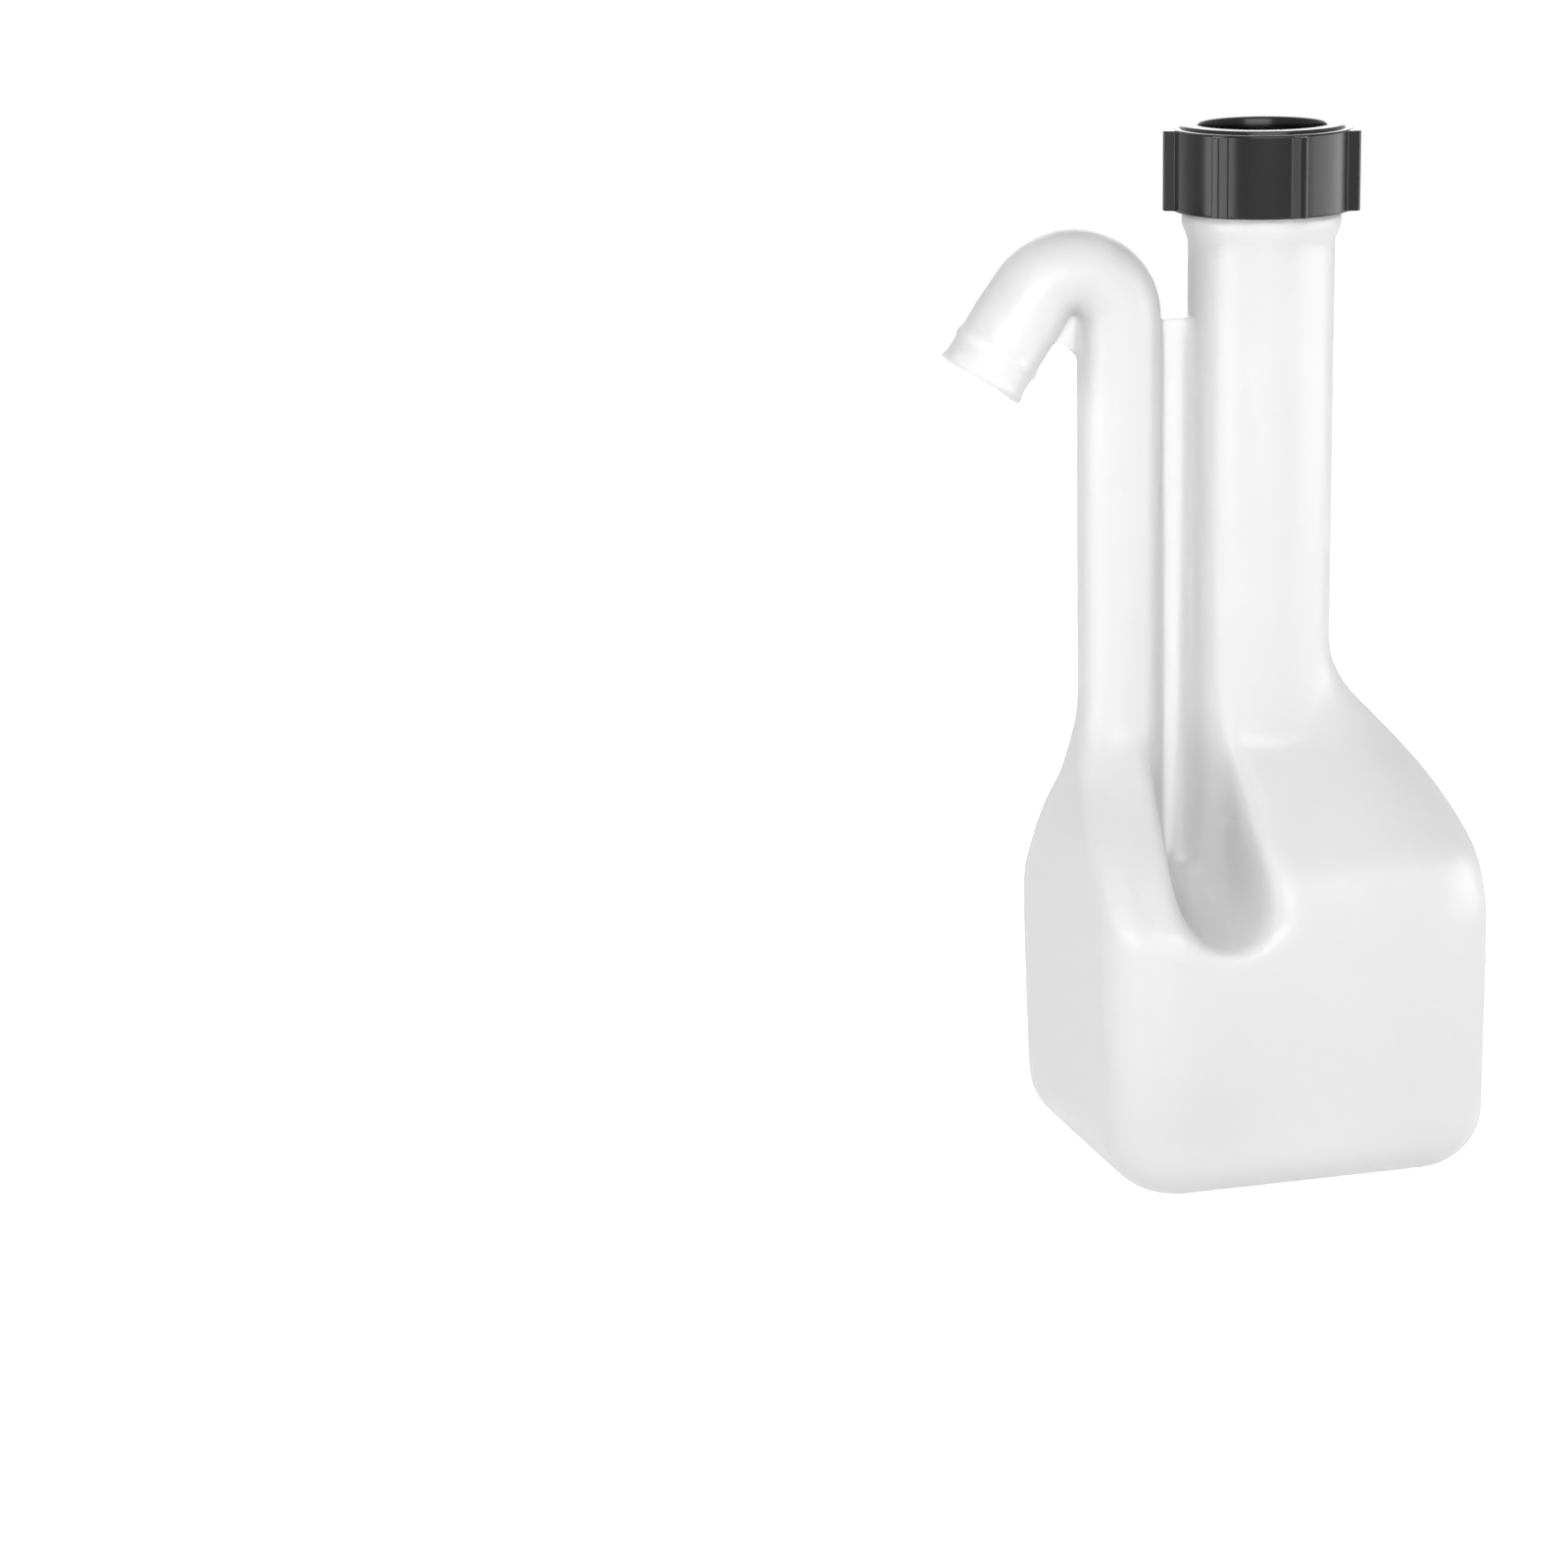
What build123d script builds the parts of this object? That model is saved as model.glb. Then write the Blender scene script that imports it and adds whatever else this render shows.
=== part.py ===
from build123d import *
from math import atan2, cos, pi, radians, sin, sqrt, tan
import os

os.makedirs("parts", exist_ok=True)

# Condensate trap: a blow-moulded bottle with a wide upright inlet neck, a slim
# outlet leg that rises beside it and turns over in a swan neck, and a black
# compression nut with a sealing ring on the inlet.
# All sizes are in mm. +Z is up, the neck's axis is the Z axis, the bottle
# stands on Z = 0 and the outlet is on the -X side.

# Wall of the moulding
wall = 1.8

# Bottle
bottle_left = 64.4
bottle_right = 61.8
bottle_depth = 114.0
corner_radius = 24.0
bottom_radius = 19.0
draft_angle = 0.5

# Shoulder: each side leaves its upright wall at a break, leans in at a slope and
# runs out, steeper, inside the leg or the neck; arcs round the crest and the
# blend. The front and back break lower on the leg's side than on the neck's
shoulder_start = 70.0
shoulder_top = 168.0
right_break = 112.6
right_slope = 46.0
right_run_out = 86.0
right_crest_radius = 80.0
right_blend_radius = 34.0
left_break = 112.0
left_slope = 80.0
left_run_out = 87.0
left_crest_radius = 60.0
left_blend_radius = 60.0
leg_break = 85.5
neck_break = 101.5
flank_slope = 49.0
flank_run_out = 84.0
flank_crest_radius = 10.0
flank_blend_radius = 26.0

# Where the sides meet the run-outs: just inside the tubes on the left and the
# right, and as shares of the tubes' radii at the front and the back
root_sink = 0.4
leg_root_share = 0.8
neck_root_share = 1.0

# The shoulder's rounded corners take up to a share of each narrowing side
corner_share = 0.88

# Sections of the shoulder: closest together round the two breaks
crease_top = 110.0
crease_steps = 20
slope_steps = 16

# Inlet neck and its finish under the nut, all hung from the rim
neck_radius = 22.25
rim_height = 314.0
rim_chamfer = 1.5
finish_radius = 23.6
finish_length = 18.6
collar_radius = 24.2
collar_length = 2.9
flare_length = 5.0

# Outlet leg, swan neck and hose spigot
leg_offset = 45.8
leg_radius = 12.8
bend_radius = 15.0
bend_height = 265.9
bend_turn = 146.0
spigot_length = 30.0
spigot_radius = 13.2
spigot_taper = 8.0
bead_height = 0.7
bead_width = 2.4
bead_spacing = 8.5

# Pinched webs on the parting plane, two walls pressed into one
web_thickness = 3.2
web_top = 264.8
crotch_web_drop = 12.8
crotch_web_rise = 3.0
crotch_web_reach = 9.0

# Pinch between the leg and the neck, pressed in from the front and the back
pinch_centre = -28.6
pinch_inner_half_width = 10.5
pinch_outer_half_width = 15.5
pinch_inner_bottom = 93.0
pinch_outer_bottom = 79.0
pinch_lip_radius = 3.5
tube_overlap = 5.0

# Compression nut
nut_height = 25.9
nut_radius = 27.2
nut_bore_clearance = 0.3
nut_opening_radius = 19.4
nut_lip = 3.6
nut_ring_radius = 24.6
nut_ring_step = 1.3
nut_edge_chamfer = 1.0
lug_count = 7
lug_reach = 3.7
lug_width = 5.4
lug_tip_width = 4.2
first_lug_angle = -87.5

# Sealing ring
seal_thickness = 4.2
seal_gap = 0.25
seal_inner_radius = 19.3
seal_outer_radius = 22.9
seal_nose_length = 1.4

# Small overlaps that join two forms or carry a cut past a face, and the distance
# within which a point counts as lying on a face
lap = 1.0
touch = 0.01

half_depth = bottle_depth / 2


def side(height, wall_reach, crease, slope, root, run_out, crest, blend):
    """Half width of the shoulder at a height. From the bottom up: an upright wall
    at wall_reach, a slope that would leave the wall at the crease, and a run-out
    that would leave the slope at root. Arcs round the crest and the blend."""
    lean = radians(90 - slope)
    end_lean = radians(90 - run_out)
    knee = crease + (wall_reach - root) / tan(lean)
    crest_reach = crest * tan(lean / 2)
    blend_reach = blend * tan((lean - end_lean) / 2)
    crest_start = crease - crest_reach
    blend_start = knee - blend_reach * cos(lean)
    if height <= crest_start:
        return wall_reach
    if height <= crease + crest_reach * cos(lean):
        return wall_reach - crest + sqrt(crest**2 - (height - crest_start) ** 2)
    if height <= blend_start:
        return wall_reach - (height - crease) * tan(lean)
    if height <= knee + blend_reach * cos(end_lean):
        centre_height = blend_start + blend * sin(lean)
        centre_reach = root + blend_reach * sin(lean) + blend * cos(lean)
        return centre_reach - sqrt(blend**2 - (height - centre_height) ** 2)
    return root - (height - knee) * tan(end_lean)


def shoulder_section(height, inset):
    """Outline of the shoulder at a height, drawn in by inset: four sides with
    rounded corners, narrower on the leg's side than on the neck's."""
    right = side(height, bottle_right, right_break, right_slope, neck_radius - root_sink,
                 right_run_out, right_crest_radius, right_blend_radius) - inset
    left = side(height, bottle_left, left_break, left_slope, leg_offset + leg_radius - root_sink,
                left_run_out, left_crest_radius, left_blend_radius) - inset
    leg_side = side(height, half_depth, leg_break, flank_slope, leg_radius * leg_root_share,
                    flank_run_out, flank_crest_radius, flank_blend_radius) - inset
    neck_side = side(height, half_depth, neck_break, flank_slope, neck_radius * neck_root_share,
                     flank_run_out, flank_crest_radius, flank_blend_radius) - inset
    spread = atan2(neck_side - leg_side, left + right)
    leg_corner = corner_share * leg_side * tan((pi / 2 + spread) / 2)
    neck_corner = corner_share * neck_side * tan((pi / 2 - spread) / 2)
    with BuildSketch(Plane.XY.offset(height)) as section:
        with BuildLine():
            Polyline((-left, leg_side), (-left, -leg_side), (right, -neck_side),
                     (right, neck_side), close=True)
        make_face()
        fillet(section.vertices().group_by(Axis.X)[0], min(corner_radius - inset, leg_corner))
        fillet(section.vertices().group_by(Axis.X)[-1], min(corner_radius - inset, neck_corner))
    return section.sketch


def shoulder_form(inset):
    """One smooth loft of the shoulder's sections."""
    crease_rise = (crease_top - shoulder_start) / crease_steps
    slope_rise = (shoulder_top - crease_top) / slope_steps
    heights = [shoulder_start + crease_rise * step for step in range(crease_steps)]
    heights += [crease_top + slope_rise * step for step in range(slope_steps + 1)]
    return loft([shoulder_section(height, inset) for height in heights], mode=Mode.PRIVATE)


def pinch_profile(depth, half_width, bottom):
    """Tongue outline of the pinch on a plane parallel to the parting plane."""
    with BuildSketch(Plane.XZ.offset(depth)) as profile:
        with Locations((pinch_centre, bottom + half_width)):
            Circle(half_width)
        with Locations((pinch_centre, (bottom + half_width + shoulder_top + half_width) / 2)):
            Rectangle(2 * half_width, shoulder_top - bottom)
    return profile.sketch


def pinch_tool(inset):
    """The tapered form that presses the front wall in to the web."""
    floor_depth = web_thickness / 2 if inset == 0 else -web_thickness
    outer_depth = half_depth + lap
    inner = pinch_profile(floor_depth, pinch_inner_half_width + inset, pinch_inner_bottom - inset)
    outer = pinch_profile(outer_depth, pinch_outer_half_width + inset, pinch_outer_bottom - inset)
    return loft([inner, outer], mode=Mode.PRIVATE)


def bottle_form(inset):
    """The closed bottle with its shoulder and both pinches, drawn in by inset.
    The lips of the pinches are rounded on the outside only."""
    shoulder = shoulder_form(inset)
    front_tool = pinch_tool(inset)
    tools = [front_tool, mirror(front_tool, about=Plane.XZ, mode=Mode.PRIVATE)]
    with BuildPart() as form:
        with BuildSketch(Plane.XY.offset(shoulder_start)):
            with Locations(((bottle_right - bottle_left) / 2, 0)):
                RectangleRounded(bottle_left + bottle_right - 2 * inset, bottle_depth - 2 * inset,
                                 corner_radius - inset)
        extrude(amount=inset - shoulder_start, taper=draft_angle)
        fillet(form.faces().sort_by(Axis.Z)[0].edges(), bottom_radius - inset)
        add(shoulder)
        skin = form.part.shells()[0]
        add(tools, mode=Mode.SUBTRACT)
        if inset == 0:
            lips = [edge for edge in form.edges(Select.LAST)
                    if edge.center().Z < shoulder_top - lap and skin.distance_to(edge @ 0.5) < touch
                    and min(tool.distance_to(edge @ 0.5) for tool in tools) < touch]
            fillet(lips, pinch_lip_radius)
    return form.part


def neck_form(inset, top):
    """The upright neck as a plain rod from inside the bottle to a height."""
    with BuildPart() as form:
        with BuildSketch(Plane.XY.offset(tube_foot)):
            Circle(neck_radius - inset)
        extrude(amount=top - tube_foot)
    return form.part


def leg_form(inset, run_out):
    """The outlet leg and its swan neck as a bent rod, run out past the mouth."""
    with BuildPart() as form:
        with BuildLine(Plane.XZ):
            Line((-leg_offset, tube_foot), (-leg_offset, bend_height))
            bend = CenterArc(bend_centre, bend_radius, 0, bend_turn)
            Line(bend @ 1, bend @ 1 + (bend % 1) * (spigot_length + run_out))
        with BuildSketch(Plane.XY.offset(tube_foot)):
            with Locations((-leg_offset, 0)):
                Circle(leg_radius - inset)
        sweep()
    return form.part


# The leg and the neck reach down inside the bottle to below the pinch
tube_foot = pinch_inner_bottom - tube_overlap
bend_centre = (-leg_offset - bend_radius, bend_height)
bend_lean = radians(bend_turn)
spigot_start = Vector(bend_centre[0] + bend_radius * cos(bend_lean), 0,
                      bend_height + bend_radius * sin(bend_lean))
spigot_axis = Vector(-sin(bend_lean), 0, cos(bend_lean))
spigot_plane = Plane(origin=spigot_start, x_dir=spigot_axis, z_dir=(0, -1, 0))

# Lower edge of the crotch web: up the leg, then across to the spigot's underside
leg_side = -leg_offset - leg_radius
crotch_spigot = (spigot_start + spigot_axis * crotch_web_reach
                 + Vector(-cos(bend_lean), 0, -sin(bend_lean)) * spigot_radius)
crotch_outline = [(leg_side + lap, bend_height - crotch_web_drop),
                  (leg_side, bend_height - crotch_web_drop),
                  (leg_side - crotch_web_rise / 2, bend_height - crotch_web_drop + crotch_web_rise),
                  (crotch_spigot.X, crotch_spigot.Z),
                  (bend_centre[0] - bend_radius / 2, bend_height + lap),
                  (leg_side + lap, bend_height + lap)]

collar_top = rim_height - finish_length
collar_bottom = collar_top - collar_length
flare_start = collar_bottom - flare_length

# The nut's lip stands on the sealing ring, and the ring on the rim
nut_ceiling = rim_height + seal_thickness + 2 * seal_gap
nut_top = nut_ceiling + nut_lip
nut_bottom = nut_top - nut_height
nut_shoulder = nut_top - nut_ring_step
nut_bore_radius = finish_radius + nut_bore_clearance
lug_foot = nut_radius - lap
lug_tip = nut_radius + lug_reach

neck_bore_radius = neck_radius - wall
seal_seat = rim_height - rim_chamfer
seal_nose_radius = neck_bore_radius - seal_gap

outer_form = bottle_form(0)
hollow_form = bottle_form(wall)
neck_rod = neck_form(0, collar_bottom)
neck_bore = neck_form(wall, rim_height + lap)
leg_rod = leg_form(0, 0)
leg_bore = leg_form(wall, lap)

with BuildPart() as trap_body:
    add([outer_form, neck_rod, leg_rod])
    # Finish of the neck: a flare, a collar under the nut, the threaded length
    with BuildSketch(Plane.XZ):
        with BuildLine():
            Polyline((0, flare_start), (neck_radius, flare_start), (collar_radius, collar_bottom),
                     (collar_radius, collar_top), (finish_radius, collar_top),
                     (finish_radius, rim_height), (0, rim_height), close=True)
        make_face()
    revolve(axis=Axis.Z)
    # Spigot: a slightly wider end with two beads that grip a hose
    with BuildSketch(spigot_plane):
        with BuildLine():
            Polyline((0, 0), (0, leg_radius), (spigot_taper, spigot_radius),
                     (spigot_length, spigot_radius), (spigot_length, 0), close=True)
        make_face()
        for back in (0, bead_spacing):
            with Locations((spigot_length - back - bead_width / 2, spigot_radius)):
                SlotOverall(bead_width, 2 * bead_height)
    revolve(axis=Axis(spigot_start, spigot_axis))
    # Webs on the parting plane: from the leg to the neck, and in the crotch of
    # the swan neck
    with BuildSketch(Plane.XZ):
        with BuildLine():
            Polyline((-leg_offset, tube_foot), (0, tube_foot), (0, web_top),
                     (-leg_offset, web_top), close=True)
        make_face()
        with BuildLine():
            Polyline(crotch_outline, close=True)
        make_face()
    extrude(amount=web_thickness / 2, both=True)
    add([hollow_form, neck_bore, leg_bore], mode=Mode.SUBTRACT)
    # Chamfer inside the rim, a seat for the sealing ring
    with BuildSketch(Plane.XZ):
        with BuildLine():
            Polyline((0, seal_seat), (neck_bore_radius, seal_seat),
                     (neck_bore_radius + rim_chamfer, rim_height), (0, rim_height), close=True)
        make_face()
    revolve(axis=Axis.Z, mode=Mode.SUBTRACT)

# Compression nut: a ribbed cap whose lip presses the sealing ring on the rim
with BuildPart() as compression_nut:
    with BuildSketch(Plane.XZ):
        with BuildLine():
            Polyline((nut_bore_radius, nut_bottom), (nut_radius, nut_bottom),
                     (nut_radius, nut_shoulder - nut_edge_chamfer),
                     (nut_radius - nut_edge_chamfer, nut_shoulder),
                     (nut_ring_radius + nut_ring_step, nut_shoulder),
                     (nut_ring_radius, nut_top), (nut_opening_radius, nut_top),
                     (nut_opening_radius, nut_ceiling), (nut_bore_radius, nut_ceiling),
                     close=True)
        make_face()
    revolve(axis=Axis.Z)
    with BuildSketch(Plane.XY.offset(nut_bottom)):
        with PolarLocations(0, lug_count, start_angle=first_lug_angle):
            Polygon((lug_foot, -lug_width / 2), (lug_tip, -lug_tip_width / 2),
                    (lug_tip, lug_tip_width / 2), (lug_foot, lug_width / 2),
                    align=None)
    extrude(amount=nut_shoulder - nut_edge_chamfer - nut_bottom)

# Sealing ring: a rubber ring with a tapered nose that enters the neck
with BuildPart() as sealing_ring:
    with BuildSketch(Plane.XZ):
        with BuildLine():
            Polyline((seal_inner_radius, seal_seat - seal_nose_length),
                     (seal_nose_radius, seal_seat - seal_nose_length),
                     (seal_nose_radius, seal_seat),
                     (seal_nose_radius + rim_chamfer, rim_height),
                     (seal_nose_radius + rim_chamfer, rim_height + seal_gap),
                     (seal_outer_radius, rim_height + seal_gap),
                     (seal_outer_radius, nut_ceiling - seal_gap),
                     (seal_inner_radius, nut_ceiling - seal_gap), close=True)
        make_face()
    revolve(axis=Axis.Z)

for piece, name in ((trap_body, "trap_body"), (compression_nut, "compression_nut"),
                    (sealing_ring, "sealing_ring")):
    piece.part.label = name
    export_step(piece.part, f"parts/{name}.step")
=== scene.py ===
"""Condensate trap: the finishes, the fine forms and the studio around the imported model."""
from math import cos, hypot, radians, sin, tau

import bmesh
import bpy
from mathutils import Matrix, Vector


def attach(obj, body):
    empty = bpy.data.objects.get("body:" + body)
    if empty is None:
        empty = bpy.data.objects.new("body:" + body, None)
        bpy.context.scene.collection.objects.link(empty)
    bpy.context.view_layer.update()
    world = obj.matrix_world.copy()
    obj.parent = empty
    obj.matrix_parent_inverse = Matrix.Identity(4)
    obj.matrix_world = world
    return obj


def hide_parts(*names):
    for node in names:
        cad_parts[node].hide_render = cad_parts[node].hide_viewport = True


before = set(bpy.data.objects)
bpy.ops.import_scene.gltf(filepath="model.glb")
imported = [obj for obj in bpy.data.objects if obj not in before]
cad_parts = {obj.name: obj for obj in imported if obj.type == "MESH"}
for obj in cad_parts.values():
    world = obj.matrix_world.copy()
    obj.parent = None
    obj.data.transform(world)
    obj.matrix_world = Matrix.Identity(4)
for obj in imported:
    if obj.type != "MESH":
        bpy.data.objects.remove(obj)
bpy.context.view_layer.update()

bl_info = {
    "name": "Condensate trap",
    "version": (1, 0, 0),
    "blender": (4, 5, 0),
    "location": "View3D > Sidebar > Trap",
    "description": "Dresses the condensate trap: milky moulded body, black nut, rubber seal and studio",
    "category": "Object",
}

MM = 0.001
# Points nearer than this, in metres, are one point
WELD = 1e-6
# Upright faces round the nut for each of its ribs, and how many of them a rib takes
SEGMENTS = 14
RIB_FACES = 3
# Sections in one turn of thread, and the half widths of its ridge at the foot and
# at the crest, as shares of the pitch
THREAD_STEPS = 72
THREAD_FOOT = 0.32
THREAD_CREST = 0.12
# Sections round the seal
SEAL_STEPS = 96
# How far each round of smoothing moves a point towards its neighbours
SMOOTHING = 0.5
# Soft blends of the moulding: lowest and highest point, left and right end, in
# metres, and the rounds of smoothing between them
BLENDS = (
    # The whole skin
    (-0.001, 0.315, -0.11, 0.07, 3),
    # The shoulder and the pinch, softest in the middle
    (0.066, 0.215, -0.07, 0.07, 12),
    (0.07, 0.205, -0.07, 0.07, 12),
    (0.076, 0.19, -0.07, 0.07, 16),
    (0.082, 0.18, -0.07, 0.07, 20),
    (0.088, 0.172, -0.07, 0.07, 24),
    # The neck and the leg where the web joins them
    (0.18, 0.262, -0.06, 0.022, 20),
    # The web
    (0.08, 0.26, -0.044, -0.012, 20),
)
# Soft lights: name, place, the point it faces, width and height, and power in watts
SOFTBOXES = (
    ("overhead_softbox", (0.1, -0.5, 1.7), (0, 0, 0.17), (1.0, 1.0), 2),
    ("front_softbox", (-0.35, -1.45, 0.72), (0, 0, 0.08), (1.3, 0.8), 17),
    ("rear_softbox", (0.5, 1.5, 0.8), (0, 0, 0.15), (1.3, 0.8), 8),
    ("left_softbox", (-0.98, -0.22, 0.19), (0, 0, 0.19), (0.75, 0.36), 4.0),
    ("right_softbox", (0.94, -0.34, 0.19), (0, 0, 0.19), (1.1, 0.36), 4.8),
)


def linear(colour):
    """A hex sRGB colour as linear red, green, blue and alpha."""
    channels = [int(colour[at:at + 2], 16) / 255 for at in (1, 3, 5)]
    return [c / 12.92 if c <= 0.04045 else ((c + 0.055) / 1.055) ** 2.4 for c in channels] + [1.0]


def add_node(tree, kind, settings=(), inputs=(), links=()):
    """Adds a shader node, sets its properties and sockets, and links its sockets
    from (socket name, node, output name) rows."""
    node = tree.nodes.new(kind)
    for name, value in settings:
        setattr(node, name, value)
    for name, value in inputs:
        node.inputs[name].default_value = value
    for name, source, output in links:
        tree.links.new(source.outputs[output], node.inputs[name])
    return node


def new_material(name):
    """A material and its node tree, which is empty."""
    material = bpy.data.materials.new(name)
    material.use_nodes = True
    material.node_tree.nodes.clear()
    return material, material.node_tree


def make_piece(bm, name, material, body, slot, *nodes):
    """Turns a finished bmesh into a piece that rides on a body, and that stands for
    the solids of any nodes named."""
    mesh = bpy.data.meshes.new(name)
    bm.to_mesh(mesh)
    bm.free()
    piece = bpy.data.objects.new(name, mesh)
    bpy.context.scene.collection.objects.link(piece)
    mesh.materials.append(material)
    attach(piece, body)
    if nodes:
        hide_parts(*nodes)
    return piece


def smooth_by_angle(bm, degrees):
    """Smooth faces, with the edges that turn more than an angle kept sharp."""
    for face in bm.faces:
        face.smooth = True
    for edge in bm.edges:
        edge.smooth = len(edge.link_faces) != 2 or edge.calc_face_angle(0.0) < radians(degrees)


class StageSettings(bpy.types.PropertyGroup):
    azimuth: bpy.props.FloatProperty(
        name="Azimuth", description="Camera's angle round the trap",
        default=radians(-15.459), subtype="ANGLE")
    elevation: bpy.props.FloatProperty(
        name="Elevation", description="Camera's angle above the floor",
        default=radians(14.078), subtype="ANGLE")
    roll: bpy.props.FloatProperty(
        name="Roll", description="Camera's tilt about its own axis",
        default=radians(-0.982), subtype="ANGLE")
    distance: bpy.props.FloatProperty(
        name="Distance", description="Camera's distance from the point it looks at",
        default=1.35145, unit="LENGTH")
    look_at: bpy.props.FloatVectorProperty(
        name="Looks at", description="Point in the middle of the view",
        default=(-0.15301, 0.0, 0.12993), size=3, unit="LENGTH")
    lens: bpy.props.FloatProperty(
        name="Lens", description="Focal length in millimetres", default=102.48, unit="CAMERA")
    floor_reach: bpy.props.FloatProperty(
        name="Floor reach", description="How far the floor goes out from the trap", default=6.0,
        unit="LENGTH")
    floor_colour: bpy.props.StringProperty(
        name="Floor", description="Colour of the floor", default="#F6F6F6")
    floor_glow: bpy.props.FloatProperty(
        name="Floor glow", description="White added to the floor as it is seen", default=0.78)
    ambient: bpy.props.FloatProperty(
        name="Ambient", description="Strength of the light from all round", default=0.28)


class BodySettings(bpy.types.PropertyGroup):
    colour: bpy.props.StringProperty(
        name="Colour", description="Natural polyethylene", default="#FDFDFD")
    clarity: bpy.props.FloatProperty(
        name="Clarity", description="Share of the light that passes through the wall", default=0.5,
        subtype="FACTOR", min=0.0, max=1.0)
    depth: bpy.props.FloatProperty(
        name="Depth", description="How far light spreads inside the plastic", default=4 * MM, unit="LENGTH")
    haze: bpy.props.FloatProperty(
        name="Haze", description="Light lost inside the wall, per metre", default=30.0, min=0.0)
    grain: bpy.props.FloatProperty(
        name="Grain", description="Spacing of the points of the moulded skin as it is shaped",
        default=0.8 * MM, unit="LENGTH")
    kept_faces: bpy.props.FloatProperty(
        name="Kept faces", description="Share of the skin's faces that stay when it is finished",
        default=0.2, subtype="FACTOR", min=0.05, max=1.0)
    draw: bpy.props.FloatProperty(
        name="Draw", description="Share by which the outlet's side narrows at the base",
        default=0.032, subtype="FACTOR", min=0.0, max=0.1)
    draw_height: bpy.props.FloatProperty(
        name="Draw height", description="Height where that narrowing starts",
        default=100 * MM, unit="LENGTH")
    thread_root: bpy.props.FloatProperty(
        name="Thread root", description="Radius of the neck between its threads",
        default=22.6 * MM, unit="LENGTH")
    finish_foot: bpy.props.FloatProperty(
        name="Finish foot", description="Height above which the neck is made for the thread",
        default=290 * MM, unit="LENGTH")


class NutSettings(bpy.types.PropertyGroup):
    colour: bpy.props.StringProperty(name="Colour", description="Black nut", default="#060607")
    bottom: bpy.props.FloatProperty(
        name="Bottom", description="Height of the nut's lower edge", default=296.4 * MM, unit="LENGTH")
    top: bpy.props.FloatProperty(
        name="Top", description="Height of the nut's top ring", default=322.3 * MM, unit="LENGTH")
    radius: bpy.props.FloatProperty(
        name="Radius", description="Radius between the ribs", default=27.2 * MM, unit="LENGTH")
    ring_radius: bpy.props.FloatProperty(
        name="Ring radius", description="Radius of the raised ring on top",
        default=24.8 * MM, unit="LENGTH")
    ring_height: bpy.props.FloatProperty(
        name="Ring height", description="How far that ring stands over the nut's shoulder",
        default=1.0 * MM, unit="LENGTH")
    groove: bpy.props.FloatProperty(
        name="Groove", description="Width and depth of the groove round the ring",
        default=0.5 * MM, unit="LENGTH")
    edge: bpy.props.FloatProperty(
        name="Edge", description="Size of the bevels at the bottom and on the ring",
        default=0.4 * MM, unit="LENGTH")
    opening_radius: bpy.props.FloatProperty(
        name="Opening radius", description="Radius of the pipe's opening", default=19.4 * MM, unit="LENGTH")
    bore_radius: bpy.props.FloatProperty(
        name="Bore radius", description="Radius inside, at the root of the thread", default=23.9 * MM,
        unit="LENGTH")
    lip: bpy.props.FloatProperty(
        name="Lip", description="Thickness of the lip over the seal", default=3.6 * MM, unit="LENGTH")
    ribs: bpy.props.IntProperty(name="Ribs", description="Number of grip ribs", default=7, min=3)
    rib_height: bpy.props.FloatProperty(
        name="Rib height", description="How far a rib stands out", default=3.1 * MM, unit="LENGTH")
    rib_taper: bpy.props.FloatProperty(
        name="Rib taper", description="Width of a rib's crest as a share of its foot", default=0.42,
        subtype="FACTOR", min=0.1, max=1.0)
    first_rib: bpy.props.FloatProperty(
        name="First rib", description="Angle of the rib nearest the camera", default=radians(-87.5),
        subtype="ANGLE")


class ThreadSettings(bpy.types.PropertyGroup):
    pitch: bpy.props.FloatProperty(
        name="Pitch", description="Rise in one turn", default=2.309 * MM, unit="LENGTH")
    turns: bpy.props.FloatProperty(name="Turns", description="Turns of thread", default=4.5, min=1.0)
    depth: bpy.props.FloatProperty(
        name="Depth", description="Height of the thread's ridge", default=1.0 * MM, unit="LENGTH")
    neck_start: bpy.props.FloatProperty(
        name="Start", description="Height where the neck's thread starts", default=299.6 * MM, unit="LENGTH")


class SealSettings(bpy.types.PropertyGroup):
    colour: bpy.props.StringProperty(name="Colour", description="Black rubber", default="#131313")
    inner_radius: bpy.props.FloatProperty(
        name="Inner radius", description="Radius of the seal's hole", default=19.3 * MM, unit="LENGTH")
    outer_radius: bpy.props.FloatProperty(
        name="Outer radius", description="Radius of the seal's flange", default=22.9 * MM, unit="LENGTH")
    nose_radius: bpy.props.FloatProperty(
        name="Nose radius", description="Radius of the nose in the neck", default=20.2 * MM, unit="LENGTH")
    nose_length: bpy.props.FloatProperty(
        name="Nose length", description="How far the nose goes down into the neck",
        default=2.9 * MM, unit="LENGTH")
    taper: bpy.props.FloatProperty(
        name="Taper", description="Width and height of the slope from the nose to the flange",
        default=1.5 * MM, unit="LENGTH")
    seat: bpy.props.FloatProperty(
        name="Seat", description="Height of the neck's rim", default=314.0 * MM, unit="LENGTH")
    gap: bpy.props.FloatProperty(
        name="Gap", description="Room between the rim and the flange of the loose seal",
        default=0.25 * MM, unit="LENGTH")
    thickness: bpy.props.FloatProperty(
        name="Thickness", description="Thickness of the flange", default=4.2 * MM, unit="LENGTH")


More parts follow.
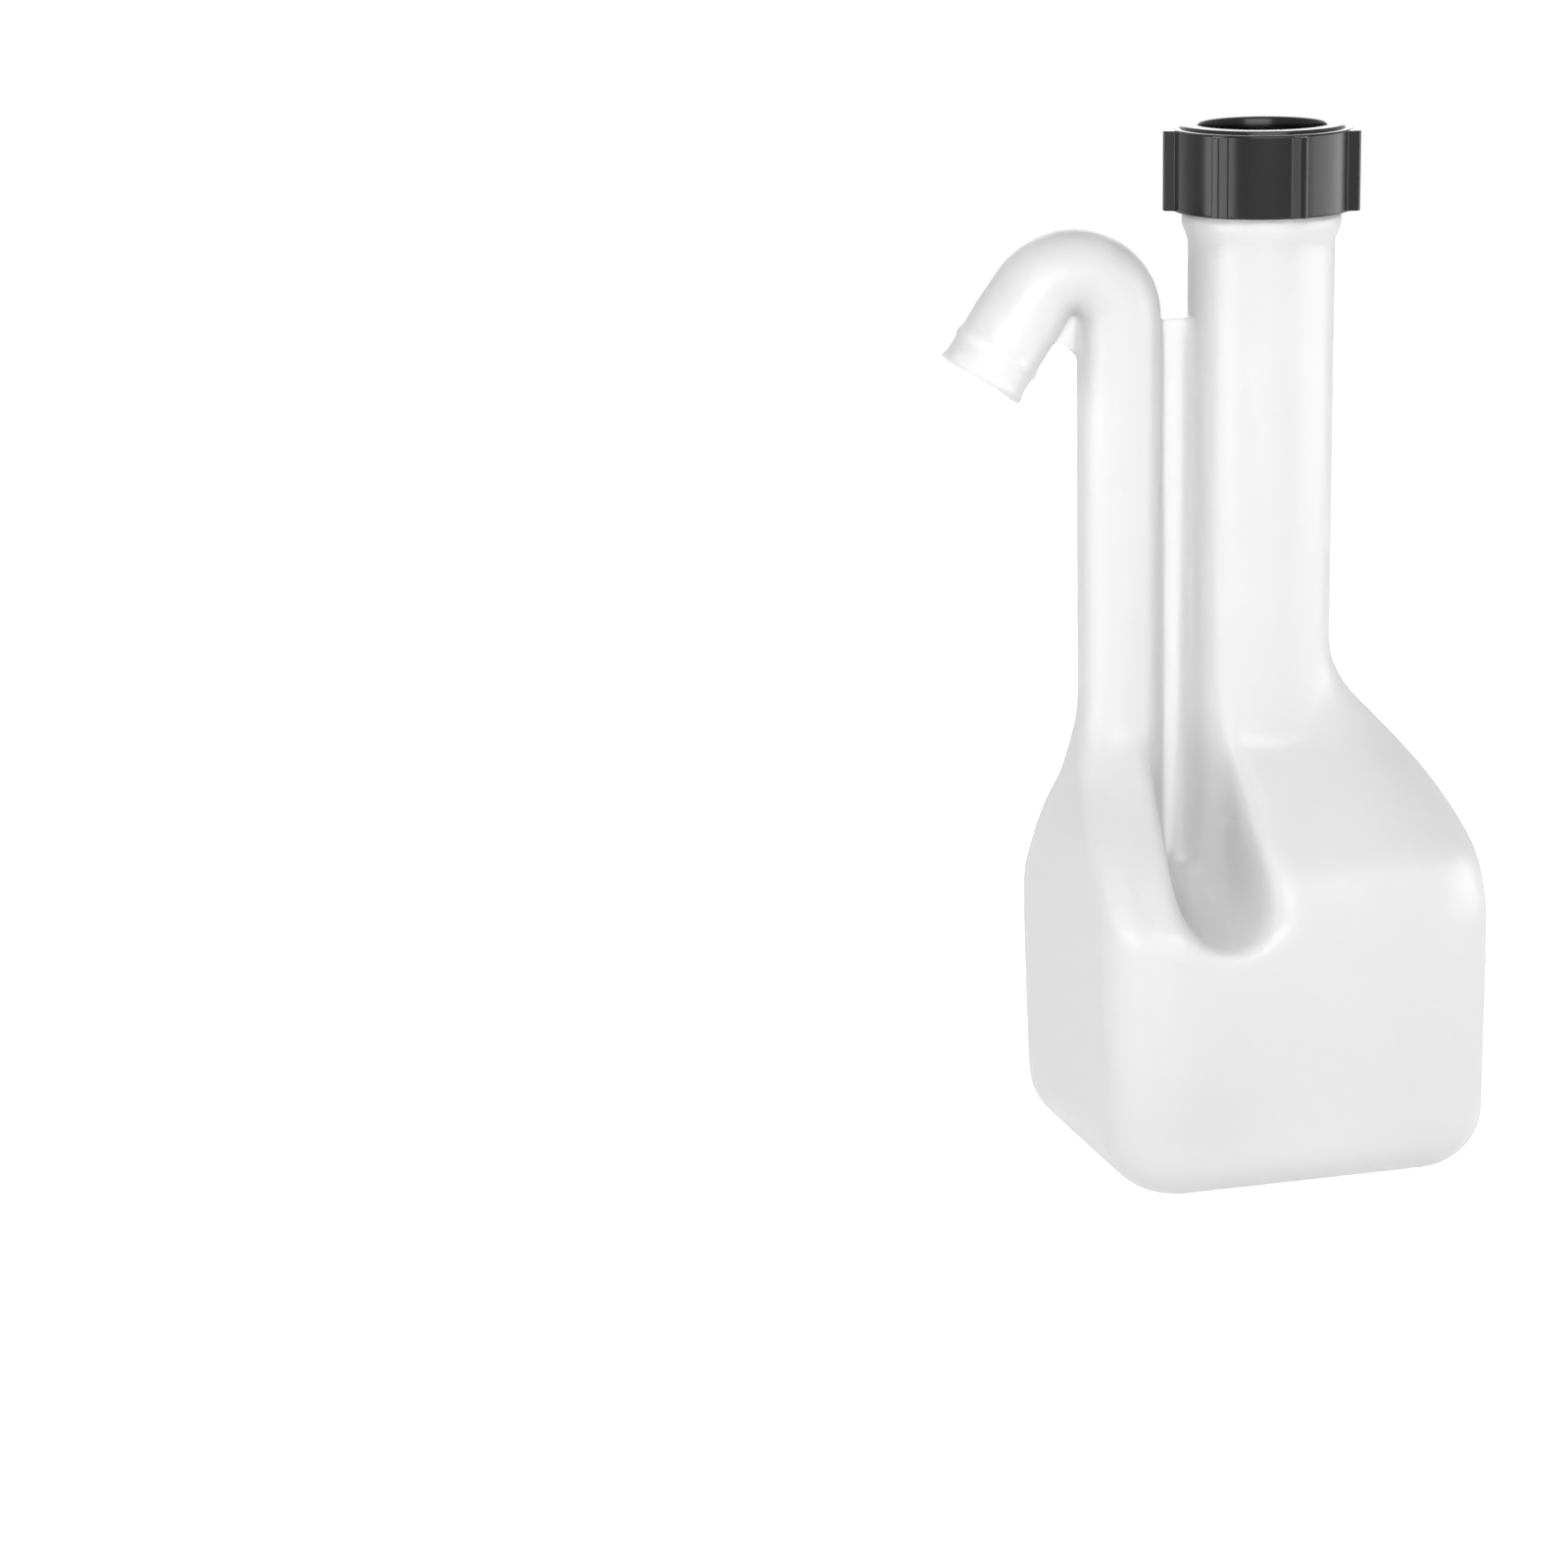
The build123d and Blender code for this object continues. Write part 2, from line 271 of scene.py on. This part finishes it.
def white_backdrop(tree):
    """1 for the rays of the camera, of gloss and of clear parts, which see the
    paper and the studio as white, and 0 for the rays that light the object."""
    path = add_node(tree, "ShaderNodeLightPath")
    seen = add_node(tree, "ShaderNodeMath", [("operation", "MAXIMUM")],
                    links=[(0, path, "Is Camera Ray"), (1, path, "Is Transmission Ray")])
    return add_node(tree, "ShaderNodeMath", [("operation", "MAXIMUM")],
                    links=[(0, seen, "Value"), (1, path, "Is Glossy Ray")])


def studio_floor(settings):
    """A wide pale floor that looks white and keeps the trap's shadow."""
    bm = bmesh.new()
    bmesh.ops.create_grid(bm, x_segments=1, y_segments=1, size=settings.floor_reach)
    mesh = bpy.data.meshes.new("floor")
    bm.to_mesh(mesh)
    bm.free()
    floor = bpy.data.objects.new("floor", mesh)
    bpy.context.scene.collection.objects.link(floor)
    material, tree = new_material("studio_paper")
    paper = add_node(tree, "ShaderNodeBsdfDiffuse", inputs=[("Color", linear(settings.floor_colour))])
    glow = add_node(tree, "ShaderNodeEmission",
                    inputs=[("Color", linear("#FFFFFF")), ("Strength", settings.floor_glow)])
    lit = add_node(tree, "ShaderNodeAddShader", links=[(0, paper, "BSDF"), (1, glow, "Emission")])
    seen = white_backdrop(tree)
    mix = add_node(tree, "ShaderNodeMixShader",
                   links=[(0, seen, "Value"), (1, paper, "BSDF"), (2, lit, "Shader")])
    add_node(tree, "ShaderNodeOutputMaterial", links=[("Surface", mix, "Shader")])
    mesh.materials.append(material)


def studio_world(settings):
    """White behind everything, and a softer white that lights the object."""
    world = bpy.data.worlds.new("studio")
    bpy.context.scene.world = world
    world.use_nodes = True
    tree = world.node_tree
    tree.nodes.clear()
    ambient = add_node(tree, "ShaderNodeBackground",
                       inputs=[("Color", linear("#FFFFFF")), ("Strength", settings.ambient)])
    backdrop = add_node(tree, "ShaderNodeBackground",
                        inputs=[("Color", linear("#FFFFFF")), ("Strength", 1.0)])
    seen = white_backdrop(tree)
    mix = add_node(tree, "ShaderNodeMixShader",
                   links=[(0, seen, "Value"), (1, ambient, "Background"), (2, backdrop, "Background")])
    add_node(tree, "ShaderNodeOutputWorld", links=[("Surface", mix, "Shader")])


def softbox(name, place, aim, size, power):
    """A rectangular soft light at a place, turned to a point."""
    light = bpy.data.lights.new(name, "AREA")
    light.shape = "RECTANGLE"
    light.size, light.size_y = size
    light.energy = power
    lamp = bpy.data.objects.new(name, light)
    lamp.location = place
    lamp.visible_camera = False
    lamp.rotation_euler = (Vector(aim) - Vector(place)).to_track_quat("-Z", "Y").to_euler()
    bpy.context.scene.collection.objects.link(lamp)


def photo_camera(settings):
    """The camera at the photograph's place."""
    azimuth, elevation, roll = settings.azimuth, settings.elevation, settings.roll
    back = Vector((sin(azimuth) * cos(elevation), -cos(azimuth) * cos(elevation), sin(elevation)))
    right = Vector((cos(azimuth), sin(azimuth), 0))
    up = back.cross(right)
    across = cos(roll) * right + sin(roll) * up
    upright = cos(roll) * up - sin(roll) * right
    camera = bpy.data.cameras.new("camera")
    camera.lens = settings.lens
    camera.clip_end = 50
    holder = bpy.data.objects.new("camera", camera)
    holder.matrix_world = Matrix.Translation(Vector(settings.look_at) + back * settings.distance) @ Matrix(
        (across, upright, back)).transposed().to_4x4()
    bpy.context.scene.collection.objects.link(holder)
    bpy.context.scene.camera = holder


class TRAP_OT_stage(bpy.types.Operator):
    """Sets up the camera, the floor and the soft studio light"""
    bl_idname = "trap.stage"
    bl_label = "Stage"

    def execute(self, context):
        settings = context.scene.trap_stage
        photo_camera(settings)
        studio_floor(settings)
        studio_world(settings)
        for name, place, aim, size, power in SOFTBOXES:
            softbox(name, place, aim, size, power)
        context.scene.view_settings.view_transform = "Standard"
        return {"FINISHED"}


def polyethylene(settings):
    """Natural high-density polyethylene, blow moulded: milky and translucent, so that
    light comes through the wall and its edges look darker, with a satin skin."""
    material, tree = new_material("natural_polyethylene")
    place = add_node(tree, "ShaderNodeTexCoord")
    # The mould's skin ripples very slightly, about every 25 mm
    ripple = add_node(tree, "ShaderNodeTexNoise",
                      inputs=[("Scale", 40.0), ("Detail", 2.0), ("Roughness", 0.5)],
                      links=[("Vector", place, "Object")])
    bump = add_node(tree, "ShaderNodeBump", inputs=[("Strength", 0.05), ("Distance", 0.002)],
                    links=[("Height", ripple, "Fac")])
    # Part of the light goes straight through, and the rest spreads in the milky wall
    skin = add_node(tree, "ShaderNodeBsdfPrincipled",
                    inputs=[("Base Color", linear(settings.colour)), ("Roughness", 0.38), ("IOR", 1.54),
                            ("Transmission Weight", settings.clarity), ("Subsurface Weight", 1.0),
                            ("Subsurface Radius", (1.0, 1.0, 1.0)), ("Subsurface Scale", settings.depth),
                            ("Subsurface Anisotropy", 0.0)],
                    links=[("Normal", bump, "Normal")])
    # The wall takes a little light away, most of all where it is seen edge on
    wall = add_node(tree, "ShaderNodeVolumeAbsorption",
                    inputs=[("Color", linear("#8C8C8C")), ("Density", settings.haze)])
    add_node(tree, "ShaderNodeOutputMaterial",
             links=[("Surface", skin, "BSDF"), ("Volume", wall, "Volume")])
    return material


def merged_node(name):
    """A welded copy of a solid's mesh."""
    bm = bmesh.new()
    bm.from_mesh(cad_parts[name].data)
    bmesh.ops.remove_doubles(bm, verts=bm.verts, dist=WELD)
    return bm


def applied(bm, kind, **settings):
    """A bmesh after one modifier."""
    mesh = bpy.data.meshes.new("work")
    bm.to_mesh(mesh)
    bm.free()
    holder = bpy.data.objects.new("work", mesh)
    bpy.context.scene.collection.objects.link(holder)
    modifier = holder.modifiers.new("work", kind)
    for name, value in settings.items():
        setattr(modifier, name, value)
    graph = bpy.context.evaluated_depsgraph_get()
    result = bpy.data.meshes.new_from_object(holder.evaluated_get(graph))
    bm = bmesh.new()
    bm.from_mesh(result)
    bpy.data.objects.remove(holder)
    for used in (mesh, result):
        bpy.data.meshes.remove(used)
    return bm


def thread(bm, radius, depth, start, pitch, turns):
    """Winds a ridge round the axis, out of a wall at a radius. A negative depth
    points it inwards. Its ends fade into the wall."""
    # The ridge's foot lies a little way into the wall
    sunk = radius - depth / 4
    rows = [(sunk, -THREAD_FOOT), (radius + depth, -THREAD_CREST), (radius + depth, THREAD_CREST),
            (sunk, THREAD_FOOT)]
    first = [bm.verts.new((reach, 0, start + rise * pitch)) for reach, rise in rows]
    old = set(bm.verts) - set(first)
    end = bm.faces.new(first)
    steps = round(THREAD_STEPS * turns)
    bmesh.ops.spin(bm, geom=[end, *end.edges, *first], cent=(0, 0, 0), axis=(0, 0, 1),
                   dvec=(0, 0, pitch * turns / steps), angle=tau * turns, steps=steps)
    fade = THREAD_STEPS // 6
    for at, vert in enumerate(vert for vert in bm.verts if vert not in old):
        section = at // len(rows)
        share = min(1.0, section / fade, (steps - section) / fade)
        reach = hypot(vert.co.x, vert.co.y)
        if (reach - radius) * depth > 0 and share < 1.0:
            scale = (sunk + (reach - sunk) * share) / reach
            vert.co.x *= scale
            vert.co.y *= scale


class TRAP_OT_body(bpy.types.Operator):
    """Moulds the body with soft blends and threads its neck"""
    bl_idname = "trap.body"
    bl_label = "Body"

    def execute(self, context):
        settings = context.scene.trap_body
        winding = context.scene.trap_thread
        plastic = polyethylene(settings)
        bm = merged_node("trap_body")
        # The solid's finish reaches the thread's crest; here it goes back to the root
        crest = settings.thread_root + winding.depth
        on_crest = 0.05 * MM
        finish = [vert for vert in bm.verts
                  if vert.co.z > settings.finish_foot
                  and abs(hypot(vert.co.x, vert.co.y) - crest) < on_crest]
        share = settings.thread_root / crest
        bmesh.ops.scale(bm, verts=finish, vec=(share, share, 1))
        bm = applied(bm, "REMESH", mode="VOXEL", voxel_size=settings.grain)
        for low, high, left, right, passes in BLENDS:
            band = [vert for vert in bm.verts if low < vert.co.z < high and left < vert.co.x < right]
            for _ in range(passes):
                bmesh.ops.smooth_vert(bm, verts=band, factor=SMOOTHING, use_axis_x=True,
                                      use_axis_y=True, use_axis_z=True)
        # The outlet's side narrows a little more towards the base
        for vert in bm.verts:
            if vert.co.x < 0 and vert.co.z < settings.draw_height:
                vert.co.x *= 1 - settings.draw * (1 - vert.co.z / settings.draw_height) ** 2
        bm = applied(bm, "DECIMATE", ratio=settings.kept_faces)
        smooth_by_angle(bm, 50)
        make_piece(bm, "moulded_trap", plastic, "trap", "natural_polyethylene", "trap_body")
        bm = bmesh.new()
        thread(bm, settings.thread_root, winding.depth, winding.neck_start, winding.pitch,
               winding.turns)
        bmesh.ops.recalc_face_normals(bm, faces=bm.faces)
        smooth_by_angle(bm, 24)
        make_piece(bm, "neck_thread", plastic, "trap", "natural_polyethylene")
        return {"FINISHED"}


def black_nylon(settings):
    """Nylon, injection moulded in a polished tool: near black with a clear gloss."""
    material, tree = new_material("black_moulded_nylon")
    skin = add_node(tree, "ShaderNodeBsdfPrincipled",
                    inputs=[("Base Color", linear(settings.colour)), ("Roughness", 0.22), ("IOR", 1.37)])
    add_node(tree, "ShaderNodeOutputMaterial", links=[("Surface", skin, "BSDF")])
    return material


def turned(bm, rows, steps):
    """Spins a closed outline of (radius, height) rows round the axis."""
    ring = [bm.verts.new((reach, 0, height)) for reach, height in rows]
    edges = [bm.edges.new((ring[at - 1], vert)) for at, vert in enumerate(ring)]
    bmesh.ops.spin(bm, geom=ring + edges, cent=(0, 0, 0), axis=(0, 0, 1), angle=tau, steps=steps,
                   use_merge=True)
    bmesh.ops.recalc_face_normals(bm, faces=bm.faces)


def nut_outline(settings):
    """The nut's section, as (radius, height) rows: up the outside from its foot,
    over the ring on top, and down the opening and the bore."""
    top, bottom, radius, edge = settings.top, settings.bottom, settings.radius, settings.edge
    ring, groove = settings.ring_radius, settings.groove
    opening, bore = settings.opening_radius, settings.bore_radius
    shoulder = top - settings.ring_height
    ceiling = top - settings.lip
    # Width and depth of the roundings at the shoulder and at the opening, each
    # with a point between its ends, and the lean of the ring's side
    round_in, round_down, bulge_in, bulge_down = 0.8 * MM, 0.5 * MM, 0.3 * MM, 0.15 * MM
    lead_out, lead_down, throat_out, throat_down = 0.8 * MM, 0.9 * MM, 0.2 * MM, 0.3 * MM
    lean = 0.1 * MM
    return [(radius - edge, bottom), (radius, bottom + edge), (radius, shoulder - round_down),
            (radius - bulge_in, shoulder - bulge_down), (radius - round_in, shoulder),
            (ring + groove, shoulder), (ring + groove / 2, shoulder - groove), (ring, shoulder),
            (ring - lean, top - edge), (ring - lean - edge, top),
            (opening + lead_out, top), (opening + throat_out, top - throat_down),
            (opening, top - lead_down), (opening, ceiling), (bore, ceiling), (bore, bottom)]


def draw_ribs(bm, settings):
    """Makes each grip rib from a few of the tall outer faces, drawn out and narrowed."""
    face_angle = tau / (SEGMENTS * settings.ribs)
    # The middle of each rib comes to the middle of a face
    bmesh.ops.rotate(bm, verts=bm.verts, cent=(0, 0, 0), matrix=Matrix.Rotation(
        settings.first_rib - RIB_FACES / 2 * face_angle, 3, "Z"))
    tall, outside = 20 * MM**2, settings.radius - 0.3 * MM
    facing = cos((RIB_FACES / 2 - 0.3) * face_angle)
    for rib in range(settings.ribs):
        angle = settings.first_rib + tau * rib / settings.ribs
        across = Vector((cos(angle), sin(angle), 0))
        foot = [face for face in bm.faces
                if abs(face.normal.z) < 0.01 and face.calc_area() > tall
                and face.calc_center_median().xy.length > outside
                and face.normal.dot(across) > facing]
        grown = bmesh.ops.extrude_face_region(bm, geom=foot)
        bmesh.ops.delete(bm, geom=foot, context="FACES")
        crest = [item for item in grown["geom"] if isinstance(item, bmesh.types.BMVert)]
        turn = Matrix.Rotation(angle, 4, "Z")
        squeeze = Matrix.Translation((settings.rib_height, 0, 0)) @ Matrix.Diagonal(
            (1, settings.rib_taper, 1, 1))
        bmesh.ops.transform(bm, matrix=turn @ squeeze @ turn.inverted(), verts=crest)


class TRAP_OT_nut(bpy.types.Operator):
    """Makes the ribbed compression nut with its inner thread"""
    bl_idname = "trap.nut"
    bl_label = "Compression nut"

    def execute(self, context):
        settings = context.scene.trap_nut
        winding = context.scene.trap_thread
        bm = bmesh.new()
        turned(bm, nut_outline(settings), SEGMENTS * settings.ribs)
        draw_ribs(bm, settings)
        # The nut's thread runs half a pitch above the neck's, between its turns
        thread(bm, settings.bore_radius, -winding.depth, winding.neck_start + winding.pitch / 2,
               winding.pitch, winding.turns)
        bmesh.ops.recalc_face_normals(bm, faces=bm.faces)
        smooth_by_angle(bm, 30)
        nut = make_piece(bm, "grip_nut", black_nylon(settings), "nut", "black_nut_plastic",
                         "compression_nut")
        rounded(nut, 0.35 * MM)
        return {"FINISHED"}


def rounded(piece, width):
    """Rounds a piece's crisp edges."""
    bevel = piece.modifiers.new("rounded_edges", "BEVEL")
    bevel.width = width
    bevel.segments = 3
    bevel.limit_method = "ANGLE"
    bevel.angle_limit = radians(40)
    bevel.harden_normals = True


def rubber(settings):
    """Black nitrile rubber, compression moulded: matte, with a faint sheen at its edges."""
    material, tree = new_material("black_rubber")
    skin = add_node(tree, "ShaderNodeBsdfPrincipled",
                    inputs=[("Base Color", linear(settings.colour)), ("Roughness", 0.6), ("IOR", 1.52)])
    add_node(tree, "ShaderNodeOutputMaterial", links=[("Surface", skin, "BSDF")])
    return material


class TRAP_OT_seal(bpy.types.Operator):
    """Makes the sealing ring between the neck and the nut"""
    bl_idname = "trap.seal"
    bl_label = "Sealing ring"

    def execute(self, context):
        settings = context.scene.trap_seal
        inner, outer, nose = settings.inner_radius, settings.outer_radius, settings.nose_radius
        rim, taper = settings.seat, settings.taper
        tip = rim - settings.nose_length
        underside = rim + settings.gap
        top = underside + settings.thickness
        bm = bmesh.new()
        turned(bm, [(inner, tip), (nose, tip), (nose, rim - taper), (nose + taper, rim),
                    (nose + taper, underside), (outer, underside), (outer, top), (inner, top)],
               SEAL_STEPS)
        smooth_by_angle(bm, 30)
        seal = make_piece(bm, "rubber_seal", rubber(settings), "seal", "black_rubber", "sealing_ring")
        rounded(seal, 0.3 * MM)
        return {"FINISHED"}


class TRAP_PT_panel(bpy.types.Panel):
    """The trap's pieces in the sidebar"""
    bl_idname = "TRAP_PT_panel"
    bl_label = "Condensate trap"
    bl_space_type = "VIEW_3D"
    bl_region_type = "UI"
    bl_category = "Trap"

    def draw(self, context):
        for operator in OPERATORS:
            self.layout.operator(operator.bl_idname)


OPERATORS = (TRAP_OT_stage, TRAP_OT_body, TRAP_OT_nut, TRAP_OT_seal)
SETTINGS = {"trap_stage": StageSettings, "trap_body": BodySettings, "trap_nut": NutSettings,
            "trap_thread": ThreadSettings, "trap_seal": SealSettings}


def register():
    for group in (*SETTINGS.values(), *OPERATORS, TRAP_PT_panel):
        bpy.utils.register_class(group)
    for name, group in SETTINGS.items():
        setattr(bpy.types.Scene, name, bpy.props.PointerProperty(type=group))


def unregister():
    for name in SETTINGS:
        delattr(bpy.types.Scene, name)
    for group in reversed((*SETTINGS.values(), *OPERATORS, TRAP_PT_panel)):
        bpy.utils.unregister_class(group)


def main():
    register()
    bpy.ops.trap.stage()
    bpy.ops.trap.body()
    bpy.ops.trap.nut()
    bpy.ops.trap.seal()


if __name__ == "__main__":
    main()
